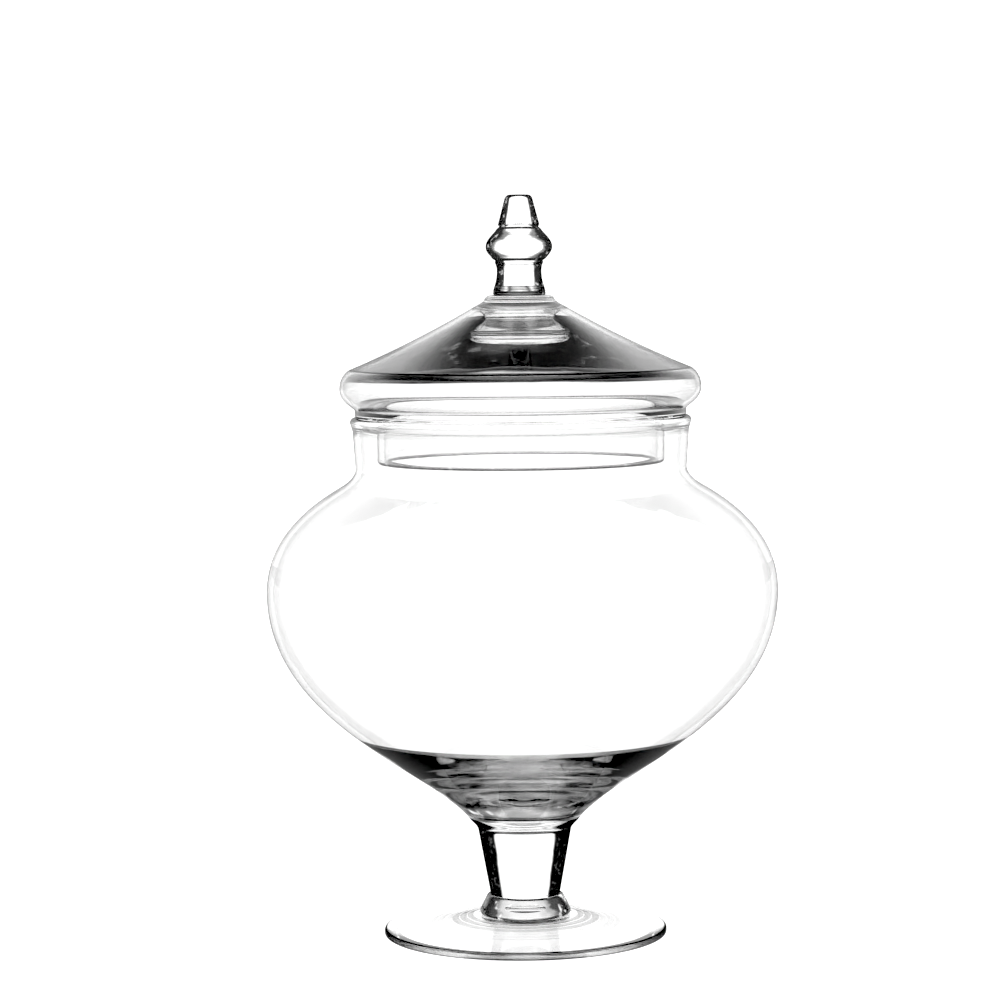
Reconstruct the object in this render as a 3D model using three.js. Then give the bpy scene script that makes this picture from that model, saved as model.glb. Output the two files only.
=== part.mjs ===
// Footed glass apothecary jar with a lift-off lid.
// Millimetres, +Z up. The origin is the centre of the foot's resting face, and the jar's axis is Z.
//
// The jar is a stack of glass gathers joined hot: foot, foot collar, stem and blown bowl.
// The lid is a second stack, lowered into the mouth: locating collar, blown dome and solid knob.
import * as THREE from "three";

// ---- Clearances and faceting ----
const joinGap = 0.3;            // between two gathers of one stack
const seatGap = 0.3;            // between the lid's seat and the jar's lip
const sides = 48;               // facets round every turned piece

// ---- Foot ----
const footDiameter = 134;
const footRimThickness = 3.4;
const footHeight = 9;           // at the collar
const footRingWidth = 6;        // ring that the jar rests on, at the rim
const footEdgeRadius = 1.2;
const footRimPull = 26;         // how slowly the top leaves the rim
const footCollarPull = 12;      // how slowly it reaches the collar

// ---- Foot collar: the barrel of glass between foot and stem ----
const collarDiameter = 43;
const collarHeight = 9.4;
const collarEdgeRadius = 1.6;
const collarLedge = 2;          // how far its top stands out round the stem

// ---- Stem ----
const stemLowDiameter = 32.8;
const stemHighDiameter = 44;    // just under the flare
const stemHeight = 37;
const stemFlareHeight = 6.4;
const stemFlareReach = 4.8;     // how far the flare stands out under the bowl
const stemFlareTurn = 1.6;      // how far the flare's edge turns outwards

// ---- Bowl ----
const bowlDiameter = 241;
const bowlHeight = 189.5;       // from the stem's face to the top of the lip
const bowlWall = 3;
const bellyHeight = 107.5;      // widest level above the stem's face
const bowlFloorThickness = 11;  // solid glass over the stem
const bowlHeelHeight = 40;      // below this the wall thickens towards the floor
const bowlHeelPull = 14;        // how far the floor's curve follows the heel
const bowlHeelSlope = 30;       // degrees from level, at the heel
const flankSlope = 48.8;        // degrees from level, where the flank leaves the stem
const shoulderSlope = 29.7;     // degrees from level, where the shoulder meets the neck's fillet

// ---- Neck and lip ----
const neckDiameter = 155.8;     // narrowest, outside
const neckHeight = 24.1;        // from the narrowest level to the top of the lip
const neckFlare = 1.2;          // how far the neck opens by the time it meets the lip
const neckFilletHeight = 8.7;
const neckFilletReach = 7.1;
const neckFilletPull = [4.5, 3]; // along the shoulder, and down the neck
const lipRadius = 2.1;          // fire-polished bead round the mouth
const lipOverhang = 1.2;        // how far the bead stands out of the neck

// ---- Lid ----
const lidWall = 1.6;            // blown thin, thickening up the cone
const lidSeatInset = 2.3;       // the seat ring's edge, inside the lip's
const lidSeatHeight = 3.2;
const lidOverhang = 4.8;        // how far the rolled bulge stands out past the lip
const lidBulgeHeight = 13;      // widest level above the seat
const lidBulgePull = [5.6, 5];  // how straight the bulge is below and above its widest level
const lidSeatCurl = [0.6, 1.4]; // how the bulge leaves the seat ring
const lidConeCurl = [2.2, 1.2]; // how it turns in to the cone's foot
const lidSeatChamfer = 0.6;
const lidConeInset = 4.8;       // the cone's foot, inside the bulge
const lidConeBaseHeight = 22.2;
const lidConeHeight = 50.8;     // cone's top above the seat
const lidConeTopSlope = 30;     // degrees from level
const lidConeBaseSlope = 22;
const lidPadLedge = 4.1;        // how far the pad stands out round the knob
const lidPadFillet = 5.5;
const lidPadHeight = 5.6;
const lidPadPull = [2.4, 1.2];
const lidWedge = 1.2;           // degrees by which the cone's wall thickens towards the crown
const lidCrownThickness = 23.5; // solid glass under the knob, down to the bottom of the drop
const lidDropDiameter = 48;     // the rounded drop of glass that hangs in the crown
const lidDropDepth = 18.5;      // from the pad's face down to the drop's widest level
const lidDropNeckDiameter = 32; // the drop's neck
const lidDropNeckDepth = 11.5;

// ---- Lid collar: the tube that hangs inside the neck ----
const flangeClearance = 7.4;    // all round, between collar and neck
const flangeWall = 3;
const flangeDepth = 21.6;

// ---- Knob ----
const knobDiameter = 31.2;
const knobBaseDiameter = 24.8;
const knobWaistDiameter = 20.9;
const knobHeight = 46.8;
const knobWaistHeight = 11.3;
const knobCrownHeight = 22.6;
const spireRootDiameter = 20.4;
const spireRootHeight = 31.2;
const spireTipDiameter = 13.2;
const spireTipRadius = 2.4;
const knobFootHeight = 1.6;     // upright edge of the knob's base ring
const knobFootChamfer = 0.7;
const knobCurl = [0.5, 2.6, 5]; // the base ring's curve into the waist
const knobWaistPull = [6, 4];   // how straight the knob is above its waist and below its widest level
const knobCrownPull = [3.6, 3.4];
const spireRootSlope = 58;      // degrees from level, where the knop meets the spire

// ---- Sizes that follow from the ones above ----
const stemTopDiameter = stemHighDiameter + 2 * stemFlareReach;
const neckRadius = neckDiameter / 2;
const neckFootHeight = bowlHeight - neckHeight;
const lipReach = neckRadius + neckFlare + lipOverhang;
const flangeDiameter = neckDiameter - 2 * (bowlWall + flangeClearance);
const lidReach = lipReach + lidOverhang;
const padDiameter = knobBaseDiameter + 2 * lidPadLedge;

// ---- Outline helpers: every outline is a list of (radius, height) points ----
const at = (radius, height) => new THREE.Vector2(radius, height);

function polar(length, degrees) {
  const turn = THREE.MathUtils.degToRad(degrees);
  return at(length * Math.cos(turn), length * Math.sin(turn));
}

function bezier(start, startPull, endPull, end, steps) {
  const from = start.clone().add(startPull);
  const to = end.clone().add(endPull);
  return new THREE.CubicBezierCurve(start, from, to, end).getPoints(steps);
}

function arc(centre, radius, fromDegrees, toDegrees, steps) {
  const points = [];
  for (let i = 0; i <= steps; i++) {
    points.push(polar(radius, fromDegrees + ((toDegrees - fromDegrees) * i) / steps).add(centre));
  }
  return points;
}

// Moves an outline sideways by a wall's thickness, to the left of its direction of travel.
// The wall can thicken by a wedge angle, in degrees, from the outline's start.
function inset(outline, thickness, wedge = 0) {
  const growth = Math.tan(THREE.MathUtils.degToRad(wedge));
  return outline.map((point, i) => {
    const before = outline[Math.max(i - 1, 0)];
    const after = outline[Math.min(i + 1, outline.length - 1)];
    const along = after.clone().sub(before).normalize();
    const wall = thickness + growth * point.distanceTo(outline[0]);
    return at(point.x - along.y * wall, point.y + along.x * wall);
  });
}

function thinned(points) {
  const shortest = 0.05;
  return points.filter((point, i) => i === 0 || point.distanceTo(points[i - 1]) > shortest);
}

const glass = (color, roughness) => new THREE.MeshStandardMaterial({ color, roughness, metalness: 0 });
const jar = new THREE.Group();
const lid = new THREE.Group();

// Spins an outline, given from the bottom outside to the top and back down inside, about Z.
function turned(group, name, outline, level, material) {
  const mesh = new THREE.Mesh(new THREE.LatheGeometry(thinned(outline), sides), material);
  mesh.name = name;
  mesh.rotation.x = Math.PI / 2;
  mesh.position.z = level;
  group.add(mesh);
}

// ---- Foot: a spun disc with a rounded rim, as thick at the rim as where it rises to the collar ----
function footOutline() {
  const rim = footDiameter / 2;
  const ringInside = rim - footRingWidth;
  const collarReach = collarDiameter / 2 + 1;
  const low = arc(at(rim - footEdgeRadius, footEdgeRadius), footEdgeRadius, -90, 0, 3);
  const high = arc(at(rim - footEdgeRadius, footRimThickness - footEdgeRadius), footEdgeRadius, 0, 84, 3);
  const rise = bezier(high.at(-1), at(-footRimPull, 1), at(footCollarPull, -1.5),
    at(collarReach, footHeight), 9);
  const under = inset(rise, footRimThickness).filter((point) => point.x < ringInside && point.y > 0.1);
  under.reverse();
  return [at(0, under[0].y), ...under, at(ringInside, 0), ...low, ...high, ...rise.slice(1),
    at(0, footHeight)];
}

// ---- Foot collar: widest low down, drawn in towards the stem, both edges melted round ----
function collarOutline() {
  const low = arc(at(collarDiameter / 2 - collarEdgeRadius, collarEdgeRadius), collarEdgeRadius, -80, 20, 4);
  const topEdge = stemLowDiameter / 2 + collarLedge;
  const topCentre = at(topEdge - collarEdgeRadius, collarHeight - collarEdgeRadius);
  return [at(0, 0), ...low, ...arc(topCentre, collarEdgeRadius, 20, 90, 3), at(0, collarHeight)];
}

// ---- Stem: a solid taper that flares under the bowl ----
function stemOutline() {
  const taperTop = at(stemHighDiameter / 2, stemHeight - stemFlareHeight);
  const flare = bezier(taperTop, at(0.5, stemFlareHeight * 0.4), at(-stemFlareTurn, -stemFlareHeight * 0.4),
    at(stemTopDiameter / 2, stemHeight), 4);
  return [at(0, 0), at(stemLowDiameter / 2, 0), ...flare, at(0, stemHeight)];
}

// ---- Bowl: flank, belly, shoulder, neck and beaded lip, with a thick floor ----
function bowlOutline() {
  const base = at(stemTopDiameter / 2, 0);
  const belly = at(bowlDiameter / 2, bellyHeight);
  const turn = at(neckRadius + neckFilletReach, neckFootHeight - neckFilletHeight);
  const neckFoot = at(neckRadius, neckFootHeight);
  const neckTop = at(neckRadius + neckFlare, bowlHeight - 3 * lipRadius);
  const lipCentre = at(lipReach - lipRadius, bowlHeight - lipRadius);
  const flankPull = 0.35 * (belly.x - base.x);
  const shoulderPull = 0.6 * (belly.x - turn.x);
  const outside = [
    ...bezier(base, polar(flankPull, flankSlope), at(0, -0.55 * bellyHeight), belly, 10),
    ...bezier(belly, at(0, 0.475 * (turn.y - belly.y)), polar(shoulderPull, -shoulderSlope), turn, 6).slice(1),
    ...bezier(turn, polar(neckFilletPull[0], 180 - shoulderSlope), at(0, -neckFilletPull[1]),
      neckFoot, 3).slice(1),
    neckTop,
  ];
  const inside = inset(outside, bowlWall).filter((point) => point.y > bowlHeelHeight);
  const heel = inside[0];
  const floor = bezier(at(0, bowlFloorThickness), at(heel.x * 0.45, 0),
    polar(bowlHeelPull, 180 + bowlHeelSlope), heel, 6);
  return [at(0, 0), ...outside, ...arc(lipCentre, lipRadius, -30, 180, 7),
    ...inside.reverse(), ...floor.reverse().slice(1)];
}

// ---- Dome: seat ring, rolled bulge, cone and knob pad, with a drop of glass hanging in the crown ----
function domeOutline() {
  const seat = lipReach - lidSeatInset;
  const bulge = at(lidReach, lidBulgeHeight);
  const coneFoot = at(lidReach - lidConeInset, lidConeBaseHeight);
  const coneTop = at(padDiameter / 2 + lidPadFillet, lidConeHeight);
  const padTop = lidConeHeight + lidPadHeight;
  const conePull = 0.36 * (coneFoot.x - coneTop.x);
  const roll = [
    ...bezier(at(seat, lidSeatHeight), at(lidSeatCurl[0], lidSeatCurl[1]), at(0, -lidBulgePull[0]), bulge, 5),
    ...bezier(bulge, at(0, lidBulgePull[1]), at(lidConeCurl[0], -lidConeCurl[1]), coneFoot, 4).slice(1),
  ];
  const cone = bezier(coneFoot, polar(conePull, 180 - lidConeBaseSlope), polar(conePull, -lidConeTopSlope),
    coneTop, 6);
  const pad = [
    ...bezier(coneTop, polar(lidPadPull[0], 180 - lidConeTopSlope), at(0.4, -lidPadPull[1]),
      at(padDiameter / 2, padTop - 2), 2),
    at(knobBaseDiameter / 2 + 1, padTop),
    at(0, padTop),
  ];
  const insideRoll = inset(roll, lidWall);
  const throat = flangeDiameter / 2 - flangeWall;
  const crown = at(0, padTop - lidCrownThickness);
  const dropNeck = at(lidDropNeckDiameter / 2, padTop - lidDropNeckDepth);
  const dropSide = at(lidDropDiameter / 2, padTop - lidDropDepth);
  const underCone = inset(cone, lidWall, lidWedge).filter((point) => point.x > dropNeck.x + 3);
  const drop = [
    ...bezier(underCone.at(-1), at(-1.3, 0.7), at(0, 1.5), dropNeck, 3),
    ...bezier(dropNeck, at(0, -1.5), at(0, 2), dropSide, 3).slice(1),
    ...bezier(dropSide, at(0, 0.8 * (crown.y - dropSide.y)), at(0.85 * dropSide.x, 0), crown, 6).slice(1),
  ];
  const under = [...underCone.slice(1), ...drop.slice(1)];
  return [at(throat, 0), at(seat - lidSeatChamfer, 0), at(seat, lidSeatChamfer), ...roll, ...cone.slice(1),
    ...pad.slice(1), ...under.reverse(), ...insideRoll.reverse(), at(throat, lidWall), at(throat, 0)];
}

// ---- Lid collar: an open tube with a melted lower edge ----
function flangeOutline() {
  const outside = flangeDiameter / 2;
  const edge = flangeWall / 2;
  return [...arc(at(outside - edge, edge), edge, -180, 0, 6), at(outside, flangeDepth),
    at(outside - flangeWall, flangeDepth), at(outside - flangeWall, edge)];
}

// ---- Knob: base ring, waist, knop and tapered spire, all solid ----
function knobOutline() {
  const waist = at(knobWaistDiameter / 2, knobWaistHeight);
  const crown = at(knobDiameter / 2, knobCrownHeight);
  const spireRoot = at(spireRootDiameter / 2, spireRootHeight);
  const tipCentre = at(spireTipDiameter / 2 - spireTipRadius, knobHeight - spireTipRadius);
  const [curlIn, curlUp, waistDown] = knobCurl;
  return [at(0, 0), at(knobBaseDiameter / 2 - knobFootChamfer, 0), at(knobBaseDiameter / 2, knobFootChamfer),
    ...bezier(at(knobBaseDiameter / 2, knobFootHeight), at(-curlIn, curlUp), at(0, -waistDown), waist, 3),
    ...bezier(waist, at(0, knobWaistPull[0]), at(0, -knobWaistPull[1]), crown, 5).slice(1),
    ...bezier(crown, at(0, knobCrownPull[0]), polar(knobCrownPull[1], -spireRootSlope),
      spireRoot, 4).slice(1),
    ...arc(tipCentre, spireTipRadius, 12, 90, 3), at(0, knobHeight)];
}

// ---- Levels: each piece stands on the one below, a gap above it ----
const collarLevel = footHeight + joinGap;
const stemLevel = collarLevel + collarHeight + joinGap;
const bowlLevel = stemLevel + stemHeight + joinGap;
const lidLevel = bowlLevel + bowlHeight + seatGap;
const flangeLevel = lidLevel - joinGap - flangeDepth;
const knobLevel = lidLevel + lidConeHeight + lidPadHeight + joinGap;

turned(jar, "foot", footOutline(), 0, glass(0xe4e7e7, 0.06));
turned(jar, "foot_collar", collarOutline(), collarLevel, glass(0xd4d8d8, 0.05));
turned(jar, "stem", stemOutline(), stemLevel, glass(0xe0e4e4, 0.04));
turned(jar, "bowl", bowlOutline(), bowlLevel, glass(0xf0f3f3, 0.03));
turned(lid, "lid_collar", flangeOutline(), flangeLevel, glass(0xeaeeee, 0.04));
turned(lid, "lid_dome", domeOutline(), lidLevel, glass(0xc9cdce, 0.04));
turned(lid, "lid_knob", knobOutline(), knobLevel, glass(0xdadede, 0.04));

const apothecaryJar = new THREE.Group();
apothecaryJar.add(jar, lid);
export default apothecaryJar;
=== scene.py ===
# Footed glass apothecary jar with a lift-off lid, on a white light table in soft studio light.
# All of it is clear soda-lime glass. The jar is four gathers joined hot (foot, foot collar,
# stem, bowl) and the lid is three (dome, locating collar, knob); the lid stands loose on the lip.
import math

import bpy
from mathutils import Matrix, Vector


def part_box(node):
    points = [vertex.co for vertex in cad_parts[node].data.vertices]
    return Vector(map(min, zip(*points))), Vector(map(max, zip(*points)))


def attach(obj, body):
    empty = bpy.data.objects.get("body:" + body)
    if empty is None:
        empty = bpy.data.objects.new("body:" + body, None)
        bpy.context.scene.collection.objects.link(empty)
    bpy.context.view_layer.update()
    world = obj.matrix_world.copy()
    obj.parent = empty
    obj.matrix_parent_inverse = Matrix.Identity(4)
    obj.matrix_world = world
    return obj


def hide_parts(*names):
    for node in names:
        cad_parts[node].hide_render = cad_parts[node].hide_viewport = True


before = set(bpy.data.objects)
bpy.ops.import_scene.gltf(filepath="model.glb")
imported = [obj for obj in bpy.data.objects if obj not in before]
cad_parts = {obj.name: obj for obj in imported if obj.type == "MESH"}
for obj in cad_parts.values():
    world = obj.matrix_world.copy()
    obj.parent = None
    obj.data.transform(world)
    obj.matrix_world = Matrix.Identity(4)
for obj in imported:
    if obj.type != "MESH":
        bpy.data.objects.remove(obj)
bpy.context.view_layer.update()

# ---- Camera: a long lens a little above the lid's height, tipped down slightly ----
CAMERA_PLACE = (-0.0089, -1.568, 0.320)  # m
CAMERA_TIP_DOWN = 4.15  # degrees
CAMERA_ROLL = 0.6  # degrees
CAMERA_LENS = 120  # mm, on a 36 mm sensor

bpy.ops.object.select_all(action="DESELECT")
bpy.ops.object.camera_add(location=CAMERA_PLACE)
camera = bpy.context.object
camera.data.lens = CAMERA_LENS
camera.data.sensor_width = 36
camera.rotation_euler = (math.radians(90 - CAMERA_TIP_DOWN), math.radians(CAMERA_ROLL), 0)
bpy.context.scene.camera = camera

# ---- Studio: a glowing white table and white walls all round, under a dark ceiling ----
# White walls draw the glass as a bright field does, and the dark ceiling shows wherever thick
# glass or a steep reflection turns the view upwards. The backdrop itself is pure white.
TABLE_RADIUS = 9.0  # m, far past every view
TABLE_GAP = 0.0004  # m, so that the foot's glass and the table never share a surface
TABLE_GLOW = 1.1
WALL_LEVEL = 1.25
CEILING_LEVEL = 0.15
CEILING_STARTS = 0.42  # sine of the height angle where the white walls begin to fade
CEILING_ENDS = 0.72
PRINT_BLACK = 0.05  # what prints as black and as white: a hard, clean product exposure
PRINT_WHITE = 0.95


def to_linear(hex_colour):
    """An sRGB hex colour as linear red, green, blue and alpha."""
    parts = [int(hex_colour[i : i + 2], 16) / 255 for i in (1, 3, 5)]
    linear = [c / 12.92 if c <= 0.04045 else ((c + 0.055) / 1.055) ** 2.4 for c in parts]
    return (*linear, 1.0)


def add_node(tree, kind, settings=None, links=None):
    """Adds a node: settings go on its properties and sockets, links join its inputs to outputs."""
    node = tree.nodes.new(kind)
    for name, value in (settings or {}).items():
        if isinstance(name, int) or name in node.inputs:
            node.inputs[name].default_value = value
        else:
            setattr(node, name, value)
    for name, output in (links or {}).items():
        tree.links.new(output, node.inputs[name])
    return node


world = bpy.data.worlds.new("studio")
bpy.context.scene.world = world
world.use_nodes = True
tree = world.node_tree
tree.nodes.clear()
direction = add_node(tree, "ShaderNodeTexCoord").outputs["Generated"]
height = add_node(tree, "ShaderNodeSeparateXYZ", links={"Vector": direction}).outputs["Z"]
fade = add_node(
    tree,
    "ShaderNodeMapRange",
    {
        "interpolation_type": "SMOOTHSTEP",
        "From Min": CEILING_STARTS,
        "From Max": CEILING_ENDS,
        "To Min": WALL_LEVEL,
        "To Max": CEILING_LEVEL,
    },
    {"Value": height},
).outputs["Result"]
backdrop = add_node(tree, "ShaderNodeLightPath").outputs["Is Camera Ray"]
brightness = add_node(
    tree, "ShaderNodeMath", {"operation": "MAXIMUM"}, {0: fade, 1: backdrop}
).outputs[0]
glow = add_node(
    tree, "ShaderNodeBackground", {"Color": to_linear("#ffffff")}, {"Strength": brightness}
)
add_node(tree, "ShaderNodeOutputWorld", links={"Surface": glow.outputs["Background"]})

bpy.ops.object.select_all(action="DESELECT")
bpy.ops.mesh.primitive_circle_add(
    vertices=96, radius=TABLE_RADIUS, fill_type="NGON", location=(0, 0, -TABLE_GAP)
)
table = bpy.context.object
table.name = "studio_table"
# Opal acrylic sheet, lit from below: an even white with no gloss.
opal = bpy.data.materials.new("opal_acrylic_light_table")
opal.use_nodes = True
tree = opal.node_tree
tree.nodes.clear()
surface = add_node(
    tree,
    "ShaderNodeBsdfPrincipled",
    {
        "Base Color": to_linear("#c8c8c8"),
        "Roughness": 0.6,
        "Emission Color": to_linear("#ffffff"),
        "Emission Strength": TABLE_GLOW,
    },
).outputs["BSDF"]
add_node(tree, "ShaderNodeOutputMaterial", links={"Surface": surface})
table.data.materials.append(opal)

scene = bpy.context.scene
scene.view_settings.view_transform = "Standard"
scene.view_settings.use_curve_mapping = True
exposure = scene.view_settings.curve_mapping
exposure.black_level = (PRINT_BLACK,) * 3
exposure.white_level = (PRINT_WHITE,) * 3
exposure.update()

# A look through the jar crosses many surfaces, so light may bounce and pass through often.
scene.cycles.max_bounces = 32
scene.cycles.transmission_bounces = 32
scene.cycles.glossy_bounces = 12
scene.cycles.diffuse_bounces = 2
scene.cycles.transparent_max_bounces = 24
scene.cycles.caustics_reflective = False
scene.cycles.caustics_refractive = True

# ---- Foot ----
# The disc that the jar stands on: one gather of soda-lime glass, opened and flattened hot with
# a wooden tool, which leaves faint rings round the collar. Its rim is fire-polished, and only
# the ring under the rim touches the table.
MM = 0.001
FACETS = 192  # round the axis, on every piece


def at(radius, height):
    """A point of an outline, or the way from one point to another."""
    return Vector((radius, height))


def polar(length, degrees):
    """The same, by its length and its angle up from level."""
    turn = math.radians(degrees)
    return at(length * math.cos(turn), length * math.sin(turn))


FOOT_RIM = 3.4 * MM  # the sheet's thickness
FOOT_EDGE = 1.2 * MM  # the rounding of the rim
FOOT_EDGE_TURN = 84  # degrees that the rounding turns before the rise goes on from it
FOOT_RING = 6 * MM  # the width of the ring that touches the table
FOOT_UNDER_STARTS = 0.02 * MM  # the height where the underside leaves that ring
FOOT_LEAVES_RIM = at(-26 * MM, 1 * MM)  # pulls of the rise's curve, at its two ends
FOOT_MEETS_COLLAR = at(12 * MM, -1.5 * MM)
FOOT_COLLAR_REACH = 1.0 * MM  # how far outside the collar the rise reaches its top
FOOT_TOOL_PITCH = 3.6 * MM  # from one tool ring to the next
FOOT_TOOL_DEPTH = 0.03 * MM
FOOT_TOOL_FROM = 24 * MM  # the radii where the rings begin, where their painted shade turns faint, and where they end
FOOT_TOOL_FAINT = 35 * MM
FOOT_TOOL_TO = 45 * MM
FOOT_TOOL_FADE_IN = 3 * MM
FOOT_TOOL_FADE_OUT = 8 * MM
FOOT_TOOL_GAP = -0.8  # the rings' wave is below this in the clean gap between two marks


def bezier(start, start_pull, end_pull, end, steps):
    """Points along a cubic curve that leaves start along start_pull and meets end from end_pull."""
    a, b = start + start_pull, end + end_pull
    points = []
    for i in range(steps + 1):
        t = i / steps
        u = 1 - t
        points.append(u * u * u * start + 3 * u * u * t * a + 3 * u * t * t * b + t * t * t * end)
    return points


def arc(centre, radius, from_degrees, to_degrees, steps):
    """Points along a circle, with the angles measured up from level."""
    turns = [from_degrees + (to_degrees - from_degrees) * i / steps for i in range(steps + 1)]
    return [centre + polar(radius, turn) for turn in turns]


def line(start, end, steps):
    """Points along a straight side."""
    return [start.lerp(end, i / steps) for i in range(steps + 1)]


def inset(outline, thickness, wedge=0):
    """The outline moved to the left by a wall that can thicken by a wedge angle, in degrees."""
    growth = math.tan(math.radians(wedge))
    moved = []
    for i, point in enumerate(outline):
        along = outline[min(i + 1, len(outline) - 1)] - outline[max(i - 1, 0)]
        along.normalize()
        wall = thickness + growth * (point - outline[0]).length
        moved.append(point + at(-along.y, along.x) * wall)
    return moved


SAME_PLACE = 0.01 * MM  # points this near are one point, and a face this near a join is on it


def joined(*runs):
    """One outline from several runs, without the points that two runs share."""
    outline = []
    for run in runs:
        for point in run:
            if not outline or (point - outline[-1]).length > SAME_PLACE:
                outline.append(point)
    return outline


WELD = 0.002 * MM  # vertices nearer than this are merged after the spin
SMOOTH_BELOW = 35  # degrees, so that only real edges stay sharp


def spun(name, outline):
    """Extrudes one vertex along an outline and spins the chain round the jar's axis."""
    bpy.ops.object.select_all(action="DESELECT")
    bpy.ops.mesh.primitive_plane_add(size=MM, location=(outline[0].x, 0, outline[0].y))
    piece = bpy.context.object
    piece.name = name
    bpy.ops.object.transform_apply(location=True, rotation=False, scale=False)
    bpy.ops.object.mode_set(mode="EDIT")
    bpy.ops.mesh.select_all(action="SELECT")
    bpy.ops.mesh.merge(type="CENTER")
    for before, after in zip(outline, outline[1:]):
        step = (after.x - before.x, 0, after.y - before.y)
        bpy.ops.mesh.extrude_vertices_move(TRANSFORM_OT_translate={"value": step})
    bpy.ops.mesh.select_all(action="SELECT")
    bpy.ops.mesh.spin(steps=FACETS, angle=math.tau, center=(0, 0, 0), axis=(0, 0, 1))
    bpy.ops.mesh.select_all(action="SELECT")
    bpy.ops.mesh.remove_doubles(threshold=WELD)
    bpy.ops.mesh.normals_make_consistent(inside=False)
    bpy.ops.object.mode_set(mode="OBJECT")
    bpy.ops.object.shade_smooth_by_angle(angle=math.radians(SMOOTH_BELOW))
    return piece


ALONG = (0.6, 0.6, 1.6)  # the scale of the painted shade's streaks where the glass was spun: longer round the axis
UPRIGHT = (1, 1, 0.45)  # and where it was drawn out along the axis
RIPPLE_LENGTH = 22 * MM  # from wave to wave, where blowing left the surface uneven
PAINTED_GLINT_STARTS = 0.58  # how strong the speckle is at a painted glint's edge, and at its heart
PAINTED_GLINT_FULL = 0.72


def painted_shade_glass(
    name,
    painted_shade_stops,
    waver=0.0,
    waver_size=3 * MM,
    shade_streaks=ALONG,
    painted_glints=0.0,
    painted_glint_size=1.5 * MM,
    ripple=0.0,
):
    """Clear glass with painted shade mixed in where it is thick and where it turns edge on.

    The painted shade is a black surface mixed into the glass, standing in for the dark
    surroundings that blacken glass edges. The list of stops gives (how far the surface turns away,
    share of glass left unshaded), from 0, face on, to 1, edge on. waver moves those boundaries by
    a pattern of waver_size, stretched by the streak scale, painted highlights lift the shade in
    patches of the highlight size, and ripple is the depth in metres of the slow waves that blowing
    leaves on the surface."""
    material = bpy.data.materials.new(name)
    material.use_nodes = True
    tree = material.node_tree
    tree.nodes.clear()
    glass = add_node(
        tree,
        "ShaderNodeBsdfPrincipled",
        {
            "Base Color": to_linear("#ffffff"),
            "Roughness": 0.0,
            "IOR": 1.5,
            "Transmission Weight": 1.0,
        },
    )
    place = add_node(tree, "ShaderNodeTexCoord").outputs["Object"]
    if ripple:
        waves = add_node(
            tree,
            "ShaderNodeTexNoise",
            {"Scale": 1 / RIPPLE_LENGTH, "Detail": 1.5},
            {"Vector": place},
        ).outputs["Fac"]
        bump = add_node(
            tree, "ShaderNodeBump", {"Strength": 1.0, "Distance": ripple}, {"Height": waves}
        ).outputs["Normal"]
        tree.links.new(bump, glass.inputs["Normal"])
    turned_away = add_node(tree, "ShaderNodeLayerWeight", {"Blend": 0.5}).outputs["Facing"]
    if waver:
        drawn = add_node(
            tree, "ShaderNodeMapping", {"Scale": shade_streaks}, {"Vector": place}
        ).outputs["Vector"]
        streaks = add_node(
            tree,
            "ShaderNodeTexNoise",
            {"Scale": 1 / waver_size, "Detail": 2.0},
            {"Vector": drawn},
        ).outputs["Fac"]
        shift = add_node(
            tree,
            "ShaderNodeMath",
            {"operation": "MULTIPLY_ADD", 1: waver, 2: -waver / 2},
            {0: streaks},
        ).outputs[0]
        turned_away = add_node(
            tree, "ShaderNodeMath", {"operation": "ADD"}, {0: turned_away, 1: shift}
        ).outputs[0]
    ramp = add_node(tree, "ShaderNodeValToRGB", links={"Fac": turned_away})
    stops = ramp.color_ramp
    stops.interpolation = "EASE"
    stops.elements.remove(stops.elements[0])
    stops.elements[0].position = painted_shade_stops[0][0]
    stops.elements[0].color = (painted_shade_stops[0][1],) * 3 + (1,)
    for position, share in painted_shade_stops[1:]:
        stops.elements.new(position).color = (share,) * 3 + (1,)
    share = ramp.outputs["Color"]
    # Painted highlights: patches where the painted shade is lifted so the clear glass shows bright.
    if painted_glints:
        painted_glint_noise = add_node(
            tree, "ShaderNodeTexNoise", {"Scale": 1 / painted_glint_size, "Detail": 2.0}, {"Vector": place}
        ).outputs["Fac"]
        painted_glint_spots = add_node(
            tree,
            "ShaderNodeMapRange",
            {"From Min": PAINTED_GLINT_STARTS, "From Max": PAINTED_GLINT_FULL, "To Min": 0.0, "To Max": painted_glints},
            {"Value": painted_glint_noise},
        ).outputs["Result"]
        share = add_node(
            tree, "ShaderNodeMath", {"operation": "MAXIMUM"}, {0: share, 1: painted_glint_spots}
        ).outputs[0]
    # The painted shade goes on once in each wall, on the face where the view enters the glass, and not on
    # the face where it leaves.
    leaving = add_node(tree, "ShaderNodeNewGeometry").outputs["Backfacing"]
    share = add_node(
        tree, "ShaderNodeMath", {"operation": "MAXIMUM"}, {0: share, 1: leaving}
    ).outputs[0]
    # Painted shade: a black surface mixed into the glass wherever the stops leave less than all of it.
    painted_shade_black = add_node(tree, "ShaderNodeBsdfDiffuse", {"Color": to_linear("#000000")}).outputs["BSDF"]
    mixed = add_node(
        tree, "ShaderNodeMixShader", links={0: share, 1: painted_shade_black, 2: glass.outputs["BSDF"]}
    ).outputs["Shader"]
    add_node(tree, "ShaderNodeOutputMaterial", links={"Surface": mixed})
    return material


# Hot join: where two gathers fused, there is no surface left, so light passes straight through.
hot_join = bpy.data.materials.new("hot_join")
hot_join.use_nodes = True
tree = hot_join.node_tree
tree.nodes.clear()
passing = add_node(tree, "ShaderNodeBsdfTransparent").outputs["BSDF"]
add_node(tree, "ShaderNodeOutputMaterial", links={"Surface": passing})


FACES_UP = 0.5  # a face counts as facing up above this height of its normal
FACES_DOWN = -0.2  # and as facing down below this one
FACES_LEVEL = 0.99  # and as level above this one, either way up


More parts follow.
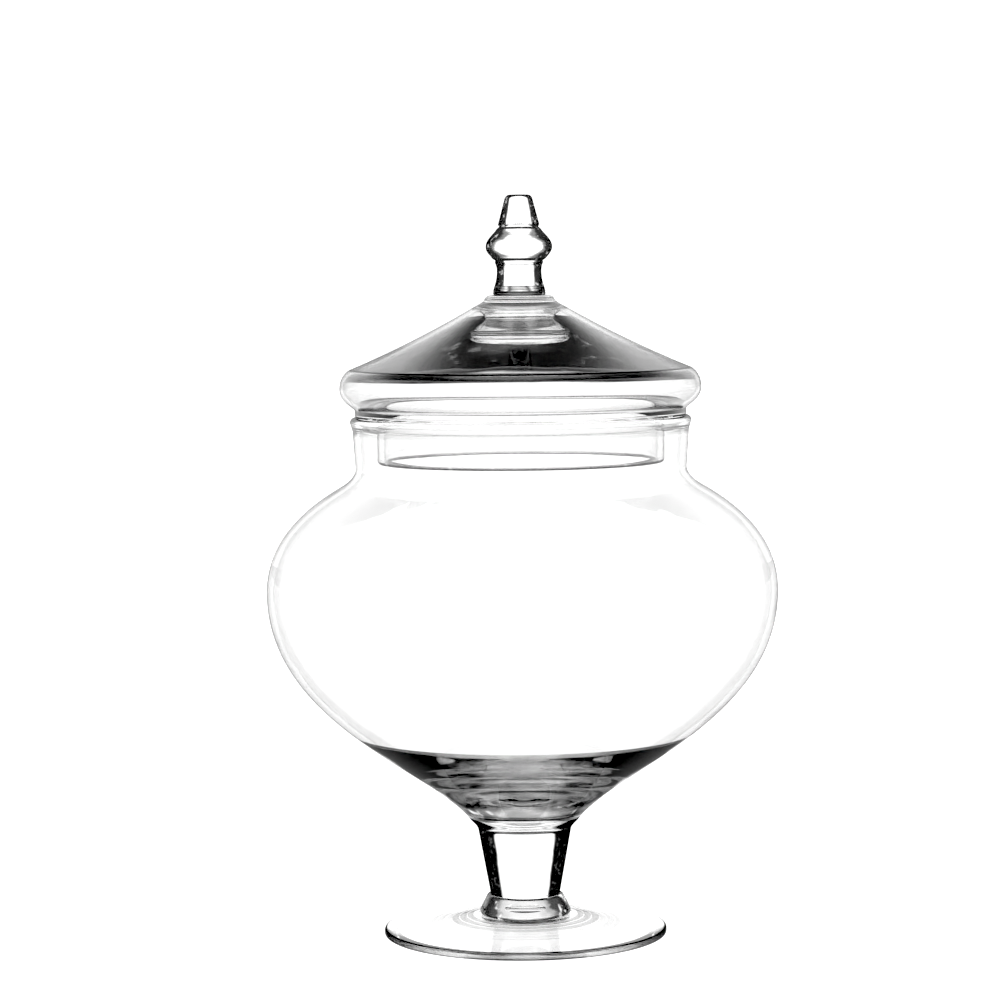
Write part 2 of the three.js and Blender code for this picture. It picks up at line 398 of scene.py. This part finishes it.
def dress(piece, glass, joins, zones=()):
    """Glass all over, hot_join on the flat faces at each (level, reach) of joins, and other
    glass on the faces that a zone's test accepts, given a face's radius, height and normal."""
    piece.data.materials.append(glass)
    piece.data.materials.append(hot_join)
    for other, _ in zones:
        piece.data.materials.append(other)
    for face in piece.data.polygons:
        radius, height = math.hypot(face.center.x, face.center.y), face.center.z
        for i, (_, accepts) in enumerate(zones):
            if accepts(radius, height, face.normal):
                face.material_index = 2 + i
        for level, reach in joins:
            on_join = abs(height - level) < SAME_PLACE and radius < reach
            if on_join and abs(face.normal.z) > FACES_LEVEL:
                face.material_index = 1


foot_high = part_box("foot")[1]
foot_collar_low, foot_collar_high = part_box("foot_collar")
foot_radius = foot_high.x
foot_top = (foot_high.z + foot_collar_low.z) / 2
foot_collar_radius = foot_collar_high.x

foot_ring_inside = foot_radius - FOOT_RING
foot_edge_low = arc(at(foot_radius - FOOT_EDGE, FOOT_EDGE), FOOT_EDGE, -90, 0, 8)
foot_edge_high = arc(
    at(foot_radius - FOOT_EDGE, FOOT_RIM - FOOT_EDGE), FOOT_EDGE, 0, FOOT_EDGE_TURN, 8
)
foot_rise = bezier(
    foot_edge_high[-1],
    FOOT_LEAVES_RIM,
    FOOT_MEETS_COLLAR,
    at(foot_collar_radius + FOOT_COLLAR_REACH, foot_top),
    60,
)
foot_under = [
    p for p in inset(foot_rise, FOOT_RIM) if p.x < foot_ring_inside and p.y > FOOT_UNDER_STARTS
][::-1]


def tooled(point):
    """A point of the rise with the tool's rings on it, which fade out towards the rim."""
    rings = math.sin(point.x * math.tau / FOOT_TOOL_PITCH)
    fade_in = (point.x - FOOT_TOOL_FROM) / FOOT_TOOL_FADE_IN
    fade_out = (FOOT_TOOL_TO - point.x) / FOOT_TOOL_FADE_OUT
    return point + at(0, FOOT_TOOL_DEPTH * rings * max(0, min(1, fade_in, fade_out)))


foot = spun(
    "foot_glass",
    joined(
        line(at(0, foot_under[0].y), foot_under[0], 6),
        foot_under,
        [at(foot_ring_inside, 0)],
        foot_edge_low,
        foot_edge_high,
        [tooled(p) for p in foot_rise],
        line(foot_rise[-1], at(0, foot_top), 8),
    ),
)
# Clear soda-lime glass, flattened and fire-polished: colourless, drawn only by painted shade that darkens it
# where it turns edge on.
foot_glass = painted_shade_glass(
    "soda_lime_glass_flattened_painted_edge_shade",
    [(0, 1), (0.8, 1), (0.9, 0.8), (0.97, 0.55), (1, 0.4)],
)
# The same glass on the rings the tool left: painted grey shade in rings, a tool pitch apart.
foot_ring_painted_shade_glass = painted_shade_glass(
    "soda_lime_glass_painted_tool_ring_shade",
    [(0, 0.82), (0.6, 0.7), (0.72, 0.6), (0.84, 0.57), (0.93, 0.75), (1, 0.6)],
    waver=0.3,
    waver_size=24 * MM,
)
# And further out, with fainter painted shade on the rings.
foot_faint_ring_painted_shade_glass = painted_shade_glass(
    "soda_lime_glass_faint_painted_ring_shade",
    [(0, 1), (0.6, 0.9), (0.72, 0.8), (0.84, 0.7), (0.93, 0.85), (1, 0.7)],
    waver=0.3,
    waver_size=24 * MM,
)
# The same glass round the rim, seen along its edge: a painted dark line of shade all round the foot.
foot_rim_painted_shade_glass = painted_shade_glass(
    "soda_lime_glass_rim_painted_shade",
    [(0, 0.85), (0.2, 0.65), (0.5, 0.2), (0.8, 0.1), (1, 0.2)],
    waver=0.1,
    waver_size=12 * MM,
)


def tool_ring_with_painted_shade(radius):
    """Whether the tool marked the foot at this radius, which gets painted grey shade there, or left a clean
    gap.
    """
    return math.sin(radius * math.tau / FOOT_TOOL_PITCH) > FOOT_TOOL_GAP


COLLAR_CURL = 1.4 * MM  # how far the collar's round lower edge stands out past the join
dress(
    foot,
    foot_glass,
    [(foot_top, foot_collar_radius - COLLAR_CURL)],
    [
        (
            foot_ring_painted_shade_glass,
            lambda r, z, n: FOOT_TOOL_FROM < r < FOOT_TOOL_FAINT and n.z > FACES_UP and tool_ring_with_painted_shade(r),
        ),
        (
            foot_faint_ring_painted_shade_glass,
            lambda r, z, n: FOOT_TOOL_FAINT <= r < FOOT_TOOL_TO and n.z > FACES_UP and tool_ring_with_painted_shade(r),
        ),
        (foot_rim_painted_shade_glass, lambda r, z, n: r > foot_radius - FOOT_EDGE and z < FOOT_RIM),
    ],
)
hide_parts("foot")
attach(foot, "jar")

# ---- Foot collar ----
# A barrel of glass between foot and stem, wrapped on hot and squeezed with the jacks. Both its
# edges are melted round, and the squeezing leaves it uneven inside.
COLLAR_TOP_RADIUS = 18.4 * MM
COLLAR_EDGE = 1.6 * MM
COLLAR_FOOT_TURN = -80  # degrees, where the lower edge's rounding leaves the foot
COLLAR_SIDE_TURN = 20  # degrees above level, where both roundings meet the leaning side
STEM_LOW_RADIUS = 16.4 * MM
stem_low, stem_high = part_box("stem")
collar_top = (foot_collar_high.z + stem_low.z) / 2

collar_edge_low = arc(
    at(foot_collar_radius - COLLAR_EDGE, foot_top + COLLAR_EDGE),
    COLLAR_EDGE,
    COLLAR_FOOT_TURN,
    COLLAR_SIDE_TURN,
    14,
)
collar_edge_high = arc(
    at(COLLAR_TOP_RADIUS - COLLAR_EDGE, collar_top - COLLAR_EDGE),
    COLLAR_EDGE,
    COLLAR_SIDE_TURN,
    90,
    10,
)
foot_collar = spun(
    "foot_collar_glass",
    joined(
        line(at(0, foot_top), collar_edge_low[0], 6),
        collar_edge_low,
        line(collar_edge_low[-1], collar_edge_high[0], 8),
        collar_edge_high,
        line(collar_edge_high[-1], at(0, collar_top), 6),
    ),
)
# Clear soda-lime glass, squeezed: sides darkened with painted shade, broken up by bright, ragged arcs of
# painted highlight.
collar_painted_shade_glass = painted_shade_glass(
    "soda_lime_glass_squeezed_painted_shade",
    [(0, 0.75), (0.12, 0.6), (0.2, 0.4), (0.28, 0.1), (0.55, 0.05), (0.8, 0.3), (1, 0.1)],
    waver=0.4,
    waver_size=7 * MM,
    painted_glints=0.9,
    painted_glint_size=5 * MM,
)
dress(foot_collar, collar_painted_shade_glass, [(foot_top, 1), (collar_top, STEM_LOW_RADIUS)])
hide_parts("foot_collar")
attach(foot_collar, "jar")

# ---- Stem ----
# A short solid taper of glass, drawn out hot between the collar and the bowl and flared where
# it takes the bowl's weight. Being solid, it works as a strong lens.
STEM_HIGH_RADIUS = 22 * MM
STEM_FLARE = 6.4 * MM  # the flare's height
STEM_LEAVES_TAPER = at(0.5 * MM, 2.6 * MM)  # pulls of the flare's curve, at its two ends
STEM_MEETS_BOWL = at(-1.6 * MM, -2.6 * MM)
FLARE_GLASS_FROM = 1.5 * MM  # from this far up, the flare gets its own painted shade, where the bend gathers the light
bowl_low, bowl_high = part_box("bowl")
stem_top = (stem_high.z + bowl_low.z) / 2
stem_top_radius = stem_high.x
stem_taper_top = at(STEM_HIGH_RADIUS, stem_top - STEM_FLARE)

stem = spun(
    "stem_glass",
    joined(
        line(at(0, collar_top), at(STEM_LOW_RADIUS, collar_top), 6),
        line(at(STEM_LOW_RADIUS, collar_top), stem_taper_top, 16),
        bezier(
            stem_taper_top,
            STEM_LEAVES_TAPER,
            STEM_MEETS_BOWL,
            at(stem_top_radius, stem_top),
            16,
        ),
        line(at(stem_top_radius, stem_top), at(0, stem_top), 6),
    ),
)
# Clear soda-lime glass, solid: a clean bright window between two sides blackened with painted shade, with a
# few painted highlights.
stem_painted_shade_glass = painted_shade_glass(
    "soda_lime_glass_solid",
    [(0, 1), (0.28, 0.97), (0.325, 0.04), (0.9, 0.03), (1, 0.2)],
    waver=0.05,
    waver_size=3.5 * MM,
    shade_streaks=UPRIGHT,
    painted_glints=0.16,
    painted_glint_size=2.2 * MM,
)
# The same glass at the flare, where the bend gathers the light: a bright band, with painted shade face on
# and painted black shade in its corners.
flare_painted_shade_glass = painted_shade_glass(
    "soda_lime_glass_flare_painted_shade",
    [(0, 0.3), (0.3, 0.45), (0.36, 1), (0.5, 1), (0.6, 0.05), (0.95, 0.04), (1, 0.3)],
    waver=0.06,
    waver_size=5 * MM,
)
dress(
    stem,
    stem_painted_shade_glass,
    [(collar_top, 1), (stem_top, 1)],
    [
        (
            flare_painted_shade_glass,
            lambda r, z, n: z > stem_taper_top.y + FLARE_GLASS_FROM and n.z < FACES_DOWN,
        )
    ],
)
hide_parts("stem")
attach(stem, "jar")

# ---- Bowl ----
# The blown vessel: a round belly on a steep flank, a straight neck and a fire-polished lip. The
# wall is 3 mm and swells into a thick floor where the bubble met the stem.
BOWL_WALL = 3 * MM
BOWL_FLOOR = 11 * MM  # the floor's thickness over the stem
BOWL_HEEL = 40 * MM  # the height over the stem where the wall begins to swell
HEEL_PULL = polar(14 * MM, 210)  # pulls of the floor's curve, the second a share of its radius
FLOOR_PULL = 0.45
BELLY_HEIGHT = 107.5 * MM  # over the stem
FLANK_SLOPE = 48.8  # degrees from level, where the flank leaves the stem
SHOULDER_SLOPE = 29.7
FLANK_FULLNESS = 0.35  # pulls of the flank and shoulder, as shares of their width or height
BELLY_FULLNESS_LOW = 0.55
BELLY_FULLNESS_HIGH = 0.475
SHOULDER_FULLNESS = 0.6
NECK_RADIUS = 77.9 * MM
NECK_HEIGHT = 24.1 * MM
NECK_FLARE = 1.2 * MM  # how far the neck leans out on its way up
NECK_BEND = at(7.1 * MM, -8.7 * MM)  # from the neck's foot to where the shoulder turns up
NECK_BEND_PULL = 4.5 * MM
NECK_FOOT_PULL = 3 * MM
LIP = 2.1 * MM  # the lip's bead: its radius, and how far it stands out from the neck
LIP_REACH = 2.4 * MM
LIP_STARTS = -30  # degrees from level, where the bead leaves the neck
LIP_UNDERCUT = 3 * LIP  # the neck runs straight up to this far under the lip's top
FLOOR_BAND = 10.5 * MM  # heights over the stem where one painted shade gives way to the next
FLANK_BAND = 40.35 * MM
SHOULDER_BAND = 122 * MM
BOWL_JOIN_BAND = 1.5 * MM  # a clear line just over the join to the stem
bowl_radius = bowl_high.x
lip_top = bowl_high.z
neck_foot = lip_top - NECK_HEIGHT

bowl_base = at(stem_top_radius, stem_top)
belly = at(bowl_radius, stem_top + BELLY_HEIGHT)
neck_low = at(NECK_RADIUS, neck_foot)
shoulder_turn = neck_low + NECK_BEND
bowl_outside = joined(
    bezier(
        bowl_base,
        polar(FLANK_FULLNESS * (belly.x - bowl_base.x), FLANK_SLOPE),
        at(0, -BELLY_FULLNESS_LOW * BELLY_HEIGHT),
        belly,
        90,
    ),
    bezier(
        belly,
        at(0, BELLY_FULLNESS_HIGH * (shoulder_turn.y - belly.y)),
        polar(SHOULDER_FULLNESS * (belly.x - shoulder_turn.x), -SHOULDER_SLOPE),
        shoulder_turn,
        40,
    ),
    bezier(
        shoulder_turn,
        polar(NECK_BEND_PULL, 180 - SHOULDER_SLOPE),
        at(0, -NECK_FOOT_PULL),
        neck_low,
        14,
    ),
    line(neck_low, at(NECK_RADIUS + NECK_FLARE, lip_top - LIP_UNDERCUT), 8),
)
bowl_inside = [p for p in inset(bowl_outside, BOWL_WALL) if p.y > stem_top + BOWL_HEEL]
bowl_heel = bowl_inside[0]
bowl = spun(
    "bowl_glass",
    joined(
        line(at(0, stem_top), bowl_base, 6),
        bowl_outside,
        arc(at(NECK_RADIUS + LIP_REACH - LIP, lip_top - LIP), LIP, LIP_STARTS, 180, 24),
        bowl_inside[::-1],
        bezier(
            bowl_heel,
            HEEL_PULL,
            at(bowl_heel.x * FLOOR_PULL, 0),
            at(0, stem_top + BOWL_FLOOR),
            50,
        ),
    ),
)
# Clear soda-lime glass, blown: almost unseen face on, a soft grey line of painted shade where it
# turns away, and slow waves from the blowing. Past 0.77 the view runs round inside the wall and
# gets the painted shade only once, so darker shade is painted there.
bowl_painted_shade_glass = painted_shade_glass(
    "soda_lime_glass_blown",
    [(0, 0.9), (0.5, 0.87), (0.68, 0.855), (0.75, 0.83), (0.79, 0.67), (0.87, 0.56), (0.95, 0.3), (1, 0.12)],
    ripple=0.05 * MM,
)
# The same glass on the shoulder: paler painted shade, with a fine painted dark edge.
shoulder_painted_shade_glass = painted_shade_glass(
    "soda_lime_glass_shoulder_painted_shade",
    [(0, 0.94), (0.7, 0.9), (0.82, 0.82), (0.9, 0.55), (0.96, 0.3), (1, 0.12)],
    ripple=0.05 * MM,
)
# The same glass in the flank over the thick floor: painted dark crescents of shade at both sides, in
# streaks, with faint painted highlights.
flank_painted_crescent_glass = painted_shade_glass(
    "soda_lime_glass_flank_painted_crescents",
    [(0, 0.95), (0.42, 0.75), (0.54, 0.4), (0.64, 0.19), (0.88, 0.17), (0.94, 0.6), (0.97, 0.8), (1, 0.4)],
    waver=0.26,
    waver_size=20 * MM,
    shade_streaks=(0.8, 0.8, 1.2),
    painted_glints=0.2,
    painted_glint_size=12 * MM,
)
# The same glass just over the stem, where the floor is solid: a painted dark dome of shade with bright
# painted highlights.
floor_painted_shade_glass = painted_shade_glass(
    "soda_lime_glass_floor_painted_shade",
    [(0, 0.08), (0.36, 0.1), (0.42, 0.25), (0.5, 0.5), (0.58, 0.2), (0.7, 0.08), (0.9, 0.3), (1, 0.6)],
    waver=0.24,
    waver_size=12 * MM,
    painted_glints=0.7,
    painted_glint_size=8 * MM,
)
dress(
    bowl,
    bowl_painted_shade_glass,
    [(stem_top, 1)],
    [
        (flank_painted_crescent_glass, lambda r, z, n: FLOOR_BAND < z - stem_top < FLANK_BAND and n.z < FACES_DOWN),
        (
            floor_painted_shade_glass,
            lambda r, z, n: BOWL_JOIN_BAND < z - stem_top <= FLOOR_BAND and n.z < FACES_DOWN,
        ),
        (shoulder_painted_shade_glass, lambda r, z, n: stem_top + SHOULDER_BAND < z < neck_foot),
    ],
)
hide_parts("bowl")
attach(bowl, "jar")

# ---- Lid dome ----
# The blown lid: a seat ring that rests on the lip, a rolled bulge, a low cone, and a rounded
# drop of solid glass left hanging in the crown where the knob was stuck on.
LID_WALL = 1.6 * MM
LID_WEDGE = 0.5  # degrees by which the cone's wall thickens towards the crown
FLANGE_WALL = 3 * MM
SEAT_CLEARANCE = 0.1 * MM  # the seat is this much wider than the neck
SEAT_CHAMFER = 0.6 * MM
SEAT_RING = 3.2 * MM  # its height, under the roll
BULGE_HEIGHT = 13 * MM  # over the seat, as the cone's two heights are
CONE_FOOT_HEIGHT = 22.2 * MM
CONE_FOOT_INSET = 4.8 * MM  # in from the bulge
CONE_TOP_HEIGHT = 50.8 * MM
CONE_TOP_RADIUS = 22 * MM
CONE_FOOT_SLOPE = 22  # degrees from level
CONE_TOP_SLOPE = 30
CONE_FULLNESS = 0.36  # the cone's pulls, as a share of its width
ROLL_LEAVES_SEAT = at(0.6 * MM, 1.4 * MM)  # pulls of the roll's curves, from seat to cone
ROLL_MEETS_BULGE = at(0, -5.6 * MM)
ROLL_LEAVES_BULGE = at(0, 5 * MM)
ROLL_MEETS_CONE = at(2.2 * MM, -1.2 * MM)
PAD_SHOULDER_RADIUS = 16.5 * MM
PAD_SHOULDER_DEPTH = 2 * MM  # under the pad's top, as the drop's three depths are
PAD_RADIUS = 13.4 * MM
PAD_LEAVES_CONE = 2.4 * MM  # pulls of the pad's curves, from cone to top
PAD_MEETS_SHOULDER = at(0.4 * MM, -1.2 * MM)
PAD_LEAVES_SHOULDER = at(-0.3 * MM, 1 * MM)
PAD_MEETS_TOP = at(1.5 * MM, 0)
DROP_NECK_RADIUS = 16 * MM
DROP_NECK_DEPTH = 11.65 * MM
DROP_RADIUS = 24.5 * MM
DROP_SIDE_DEPTH = 18.15 * MM
DROP_DEPTH = 23.85 * MM
DROP_ROOT = 3 * MM  # how far out from its neck the drop grows out of the cone
DROP_LEAVES_CONE = at(-1.3 * MM, 0.7 * MM)  # pulls of the drop's curves, from cone to bottom
DROP_NECK_PULL = at(0, 1.5 * MM)
DROP_SIDE_PULL = at(0, 2 * MM)
DROP_FULLNESS = 0.8  # of its round bottom, as shares of that bottom's height and radius
DROP_FLATNESS = 0.85
KNOB_FOOT_RADIUS = 12 * MM  # of the flat face where the knob is fused on
CONE_GLASS_FROM = 16.5 * MM  # over the seat, and the radii between which the cone gets painted dark shade
CONE_GLASS_INSIDE = 22 * MM
CONE_GLASS_OUTSIDE = 84 * MM
CROWN_GLASS_OUTSIDE = DROP_RADIUS + 0.1 * MM
CROWN_FACES = 0.2  # the crown's glass is on faces whose normal is lower than this
dome_low, dome_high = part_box("lid_dome")
knob_low, knob_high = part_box("lid_knob")
flange_low, flange_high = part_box("lid_collar")
seat_level = dome_low.z
dome_top = (dome_high.z + knob_low.z) / 2
flange_top = (flange_high.z + dome_low.z) / 2
flange_radius = flange_high.x

seat_radius = NECK_RADIUS + SEAT_CLEARANCE
roll_foot = at(seat_radius, seat_level + SEAT_RING)
bulge = at(dome_high.x, seat_level + BULGE_HEIGHT)
cone_foot = at(dome_high.x - CONE_FOOT_INSET, seat_level + CONE_FOOT_HEIGHT)
cone_top = at(CONE_TOP_RADIUS, seat_level + CONE_TOP_HEIGHT)
pad_shoulder = at(PAD_SHOULDER_RADIUS, dome_top - PAD_SHOULDER_DEPTH)
pad_edge = at(PAD_RADIUS, dome_top)
drop_neck = at(DROP_NECK_RADIUS, dome_top - DROP_NECK_DEPTH)
drop_side = at(DROP_RADIUS, dome_top - DROP_SIDE_DEPTH)
drop_bottom = at(0, dome_top - DROP_DEPTH)
throat = flange_radius - FLANGE_WALL
cone_pull = CONE_FULLNESS * (cone_foot.x - cone_top.x)
roll = joined(
    bezier(roll_foot, ROLL_LEAVES_SEAT, ROLL_MEETS_BULGE, bulge, 24),
    bezier(bulge, ROLL_LEAVES_BULGE, ROLL_MEETS_CONE, cone_foot, 24),
)
cone = bezier(
    cone_foot,
    polar(cone_pull, 180 - CONE_FOOT_SLOPE),
    polar(cone_pull, -CONE_TOP_SLOPE),
    cone_top,
    60,
)
pad = joined(
    bezier(
        cone_top, polar(PAD_LEAVES_CONE, 180 - CONE_TOP_SLOPE), PAD_MEETS_SHOULDER, pad_shoulder, 10
    ),
    bezier(pad_shoulder, PAD_LEAVES_SHOULDER, PAD_MEETS_TOP, pad_edge, 8),
    line(pad_edge, at(0, dome_top), 6),
)
under_roll = inset(roll, LID_WALL)
under_cone = [p for p in inset(cone, LID_WALL, LID_WEDGE) if p.x > drop_neck.x + DROP_ROOT]
drop = joined(
    bezier(under_cone[-1], DROP_LEAVES_CONE, DROP_NECK_PULL, drop_neck, 12),
    bezier(drop_neck, -DROP_NECK_PULL, DROP_SIDE_PULL, drop_side, 12),
    bezier(
        drop_side,
        at(0, DROP_FULLNESS * (drop_bottom.y - drop_side.y)),
        at(DROP_FLATNESS * drop_side.x, 0),
        drop_bottom,
        30,
    ),
)
lid_dome = spun(
    "lid_dome_glass",
    joined(
        joined(under_cone, drop)[::-1],
        under_roll[::-1],
        line(under_roll[0], at(throat, seat_level + LID_WALL), 8),
        [at(throat, flange_top)],
        line(at(flange_radius, flange_top), at(flange_radius, seat_level), 2),
        line(at(flange_radius, seat_level), at(seat_radius - SEAT_CHAMFER, seat_level), 6),
        [at(seat_radius, seat_level + SEAT_CHAMFER)],
        roll,
        cone,
        pad,
    ),
)
# Clear soda-lime glass, blown thin: painted shade like the bowl's, a little paler.
lid_painted_shade_glass = painted_shade_glass(
    "soda_lime_glass_lid_painted_shade",
    [(0, 0.94), (0.5, 0.9), (0.68, 0.84), (0.8, 0.7), (0.9, 0.45), (0.96, 0.28), (1, 0.12)],
    ripple=0.05 * MM,
)
# The same glass in the crown, on the hanging drop and the pad's side: clear, with painted shade only edge
# on.
crown_painted_edge_shade_glass = painted_shade_glass(
    "soda_lime_glass_crown_painted_edge_shade",
    [(0, 1), (0.88, 1), (0.94, 0.5), (0.98, 0.2), (1, 0.15)],
    waver=0.16,
    waver_size=6 * MM,
)
# The same glass on the cone's underside: a painted dark reflection, nearly black at a slant, as a
# slope that mirrors a dark ceiling down to the eye, with faint painted highlights, and clear seen straight
# on.
cone_painted_reflection_glass = painted_shade_glass(
    "soda_lime_glass_cone_painted_reflection",
    [(0, 1), (0.1, 1), (0.26, 0.05), (0.48, 0.18), (0.55, 0.16), (0.63, 0.03), (0.9, 0.02), (1, 0.6)],
    waver=0.1,
    waver_size=16 * MM,
    painted_glints=0.2,
    painted_glint_size=9 * MM,
)
dress(
    lid_dome,
    lid_painted_shade_glass,
    [(dome_top, KNOB_FOOT_RADIUS), (flange_top, 1)],
    [
        (
            cone_painted_reflection_glass,
            lambda r, z, n: CONE_GLASS_INSIDE < r < CONE_GLASS_OUTSIDE
            and z > seat_level + CONE_GLASS_FROM
            and n.z < FACES_DOWN,
        ),
        (crown_painted_edge_shade_glass, lambda r, z, n: r < CROWN_GLASS_OUTSIDE and n.z < CROWN_FACES),
    ],
)
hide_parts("lid_dome")
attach(lid_dome, "lid")

# ---- Lid collar ----
# The short tube under the dome that drops into the neck and keeps the lid from sliding off. It
# is blown glass, sealed hot to the dome, and its lower edge is melted round.
flange_edge = FLANGE_WALL / 2
flange_low_edge = arc(
    at(flange_radius - flange_edge, flange_low.z + flange_edge), flange_edge, -180, 0, 20
)
lid_collar = spun(
    "lid_collar_glass",
    joined(
        flange_low_edge,
        line(flange_low_edge[-1], at(flange_radius, flange_top), 14),
        line(at(throat, flange_top), flange_low_edge[0], 14),
    ),
)
# Clear soda-lime glass, a blown tube: almost unseen, with a fine painted dark line of shade where it turns
# away.
tube_painted_edge_shade_glass = painted_shade_glass(
    "soda_lime_glass_tube_painted_edge_shade",
    [(0, 1), (0.6, 0.95), (0.8, 0.85), (0.9, 0.5), (0.97, 0.2), (1, 0.05)],
    ripple=0.1 * MM,
)
# The same glass at the melted lower edge, a bead drawn as a painted dark line of shade, broken by bright
# painted highlights.
bead_painted_shade_glass = painted_shade_glass(
    "soda_lime_glass_melted_edge_painted_shade",
    [(0, 0.7), (0.3, 0.45), (0.6, 0.15), (1, 0.05)],
    waver=0.5,
    waver_size=8 * MM,
    painted_glints=0.9,
    painted_glint_size=5 * MM,
)
dress(
    lid_collar,
    tube_painted_edge_shade_glass,
    [(flange_top, 1)],
    [(bead_painted_shade_glass, lambda r, z, n: z < flange_low.z + flange_edge)],
)
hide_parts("lid_collar")
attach(lid_collar, "lid")

# ---- Lid knob ----
# The solid grip: a base ring, a waist, a round knop and a tapered spire, drawn from one gather
# with the jacks, which pinch it at the knop's foot and at the spire's root.
KNOB_PINCHES = [(16.2 * MM, 0.8 * MM), (32.0 * MM, 0.9 * MM)]  # height and depth
PINCH_HALF_WIDTH = 0.9 * MM
BASE_RING_CENTRE = 11.7 * MM  # radius and height of the middle of the base ring's rounding
BASE_RING_HEIGHT = 0.9 * MM
BASE_RING_ROUNDING = 0.7 * MM
BASE_RING_TURN = 60  # degrees up and down from level
SKIRT_RADIUS = 12.3 * MM  # every height is over the pad
SKIRT_HEIGHT = 1.8 * MM
WAIST_RADIUS = 10.45 * MM
WAIST_HEIGHT = 11.3 * MM
KNOP_HEIGHT = 22.6 * MM
SPIRE_ROOT_RADIUS = 10.2 * MM
SPIRE_ROOT_HEIGHT = 31.2 * MM
SPIRE_TOP_RADIUS = 6.6 * MM
SPIRE_TIP_TURN = 12  # degrees above level, where the tip's rounding begins
SKIRT_PULL = at(-0.5 * MM, 2.6 * MM)  # pulls of the side's curves, from the ring to the spire
WAIST_PULL_LOW = at(0, -5 * MM)
WAIST_PULL_HIGH = at(0, 6 * MM)
KNOP_PULL_LOW = at(0, -4 * MM)
KNOP_PULL_HIGH = at(0, 3.6 * MM)
SPIRE_ROOT_PULL = polar(3.4 * MM, -58)
TIP = 2.4 * MM
BASE_RING_GLASS_TO = 1.5 * MM  # heights where one painted shade gives way to the next
BASE_RING_GLASS_FROM = 11 * MM  # the radius outside which the ring has its own painted shade
CURL_GLASS_TO = 4.6 * MM
KNOP_GLASS_FROM = 17.2 * MM
KNOP_GLASS_TO = 31 * MM
knob_skirt = at(SKIRT_RADIUS, dome_top + SKIRT_HEIGHT)
knob_waist = at(WAIST_RADIUS, dome_top + WAIST_HEIGHT)
knop = at(knob_high.x, dome_top + KNOP_HEIGHT)
spire_root = at(SPIRE_ROOT_RADIUS, dome_top + SPIRE_ROOT_HEIGHT)
spire_tip = arc(at(SPIRE_TOP_RADIUS - TIP, knob_high.z - TIP), TIP, SPIRE_TIP_TURN, 90, 12)


def pinched(point):
    """A point of the knob's side, moved in where the jacks left a V-shaped groove."""
    for height, depth in KNOB_PINCHES:
        away = abs(point.y - dome_top - height) / PINCH_HALF_WIDTH
        if away < 1:
            point = point - at(depth * (1 - away), 0)
    return point


knob_side = joined(
    bezier(knob_skirt, SKIRT_PULL, WAIST_PULL_LOW, knob_waist, 20),
    bezier(knob_waist, WAIST_PULL_HIGH, KNOP_PULL_LOW, knop, 44),
    bezier(knop, KNOP_PULL_HIGH, SPIRE_ROOT_PULL, spire_root, 30),
    line(spire_root, spire_tip[0], 40),
)
lid_knob = spun(
    "lid_knob_glass",
    joined(
        line(at(0, dome_top), at(KNOB_FOOT_RADIUS, dome_top), 6),
        arc(
            at(BASE_RING_CENTRE, dome_top + BASE_RING_HEIGHT),
            BASE_RING_ROUNDING,
            -BASE_RING_TURN,
            BASE_RING_TURN,
            8,
        ),
        [pinched(p) for p in knob_side],
        spire_tip,
        line(spire_tip[-1], at(0, knob_high.z), 4),
    ),
)
# Clear soda-lime glass, drawn: bright windows between sides blackened with painted shade, with stray painted
# highlights.
knob_painted_shade_glass = painted_shade_glass(
    "soda_lime_glass_drawn_painted_shade",
    [(0, 1), (0.22, 0.97), (0.3, 0.06), (0.9, 0.04), (1, 0.2)],
    waver=0.1,
    waver_size=3 * MM,
    shade_streaks=UPRIGHT,
    painted_glints=0.5,
    painted_glint_size=2.4 * MM,
)
# The same glass in the round knop: a wider window, with its painted dark sides broken up by painted
# highlights.
knop_painted_shade_glass = painted_shade_glass(
    "soda_lime_glass_knop_painted_shade",
    [(0, 1), (0.28, 0.97), (0.36, 0.25), (0.46, 0.06), (0.9, 0.05), (1, 0.2)],
    waver=0.2,
    waver_size=4 * MM,
    painted_glints=0.6,
    painted_glint_size=3 * MM,
)
# The same glass low on the waist: painted bands of shade where the curl into the base ring folds the view
# over.
curl_painted_shade_glass = painted_shade_glass(
    "soda_lime_glass_curl_painted_shade",
    [(0, 0.9), (0.05, 0.5), (0.1, 0.15), (0.16, 0.7), (0.25, 0.3), (0.35, 0.08), (1, 0.1)],
    waver=0.1,
    waver_size=6 * MM,
)
# The same glass at the base ring: painted dark shade where it joins the pad, with painted highlights.
base_ring_painted_shade_glass = painted_shade_glass(
    "soda_lime_glass_base_ring_painted_shade",
    [(0, 0.25), (0.3, 0.1), (0.6, 0.04), (1, 0.3)],
    waver=0.3,
    waver_size=5 * MM,
    painted_glints=0.5,
    painted_glint_size=3 * MM,
)
dress(
    lid_knob,
    knob_painted_shade_glass,
    [(dome_top, 1)],
    [
        (knop_painted_shade_glass, lambda r, z, n: KNOP_GLASS_FROM < z - dome_top < KNOP_GLASS_TO),
        (curl_painted_shade_glass, lambda r, z, n: BASE_RING_GLASS_TO <= z - dome_top < CURL_GLASS_TO),
        (
            base_ring_painted_shade_glass,
            lambda r, z, n: z - dome_top < BASE_RING_GLASS_TO and r > BASE_RING_GLASS_FROM,
        ),
    ],
)
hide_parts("lid_knob")
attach(lid_knob, "lid")
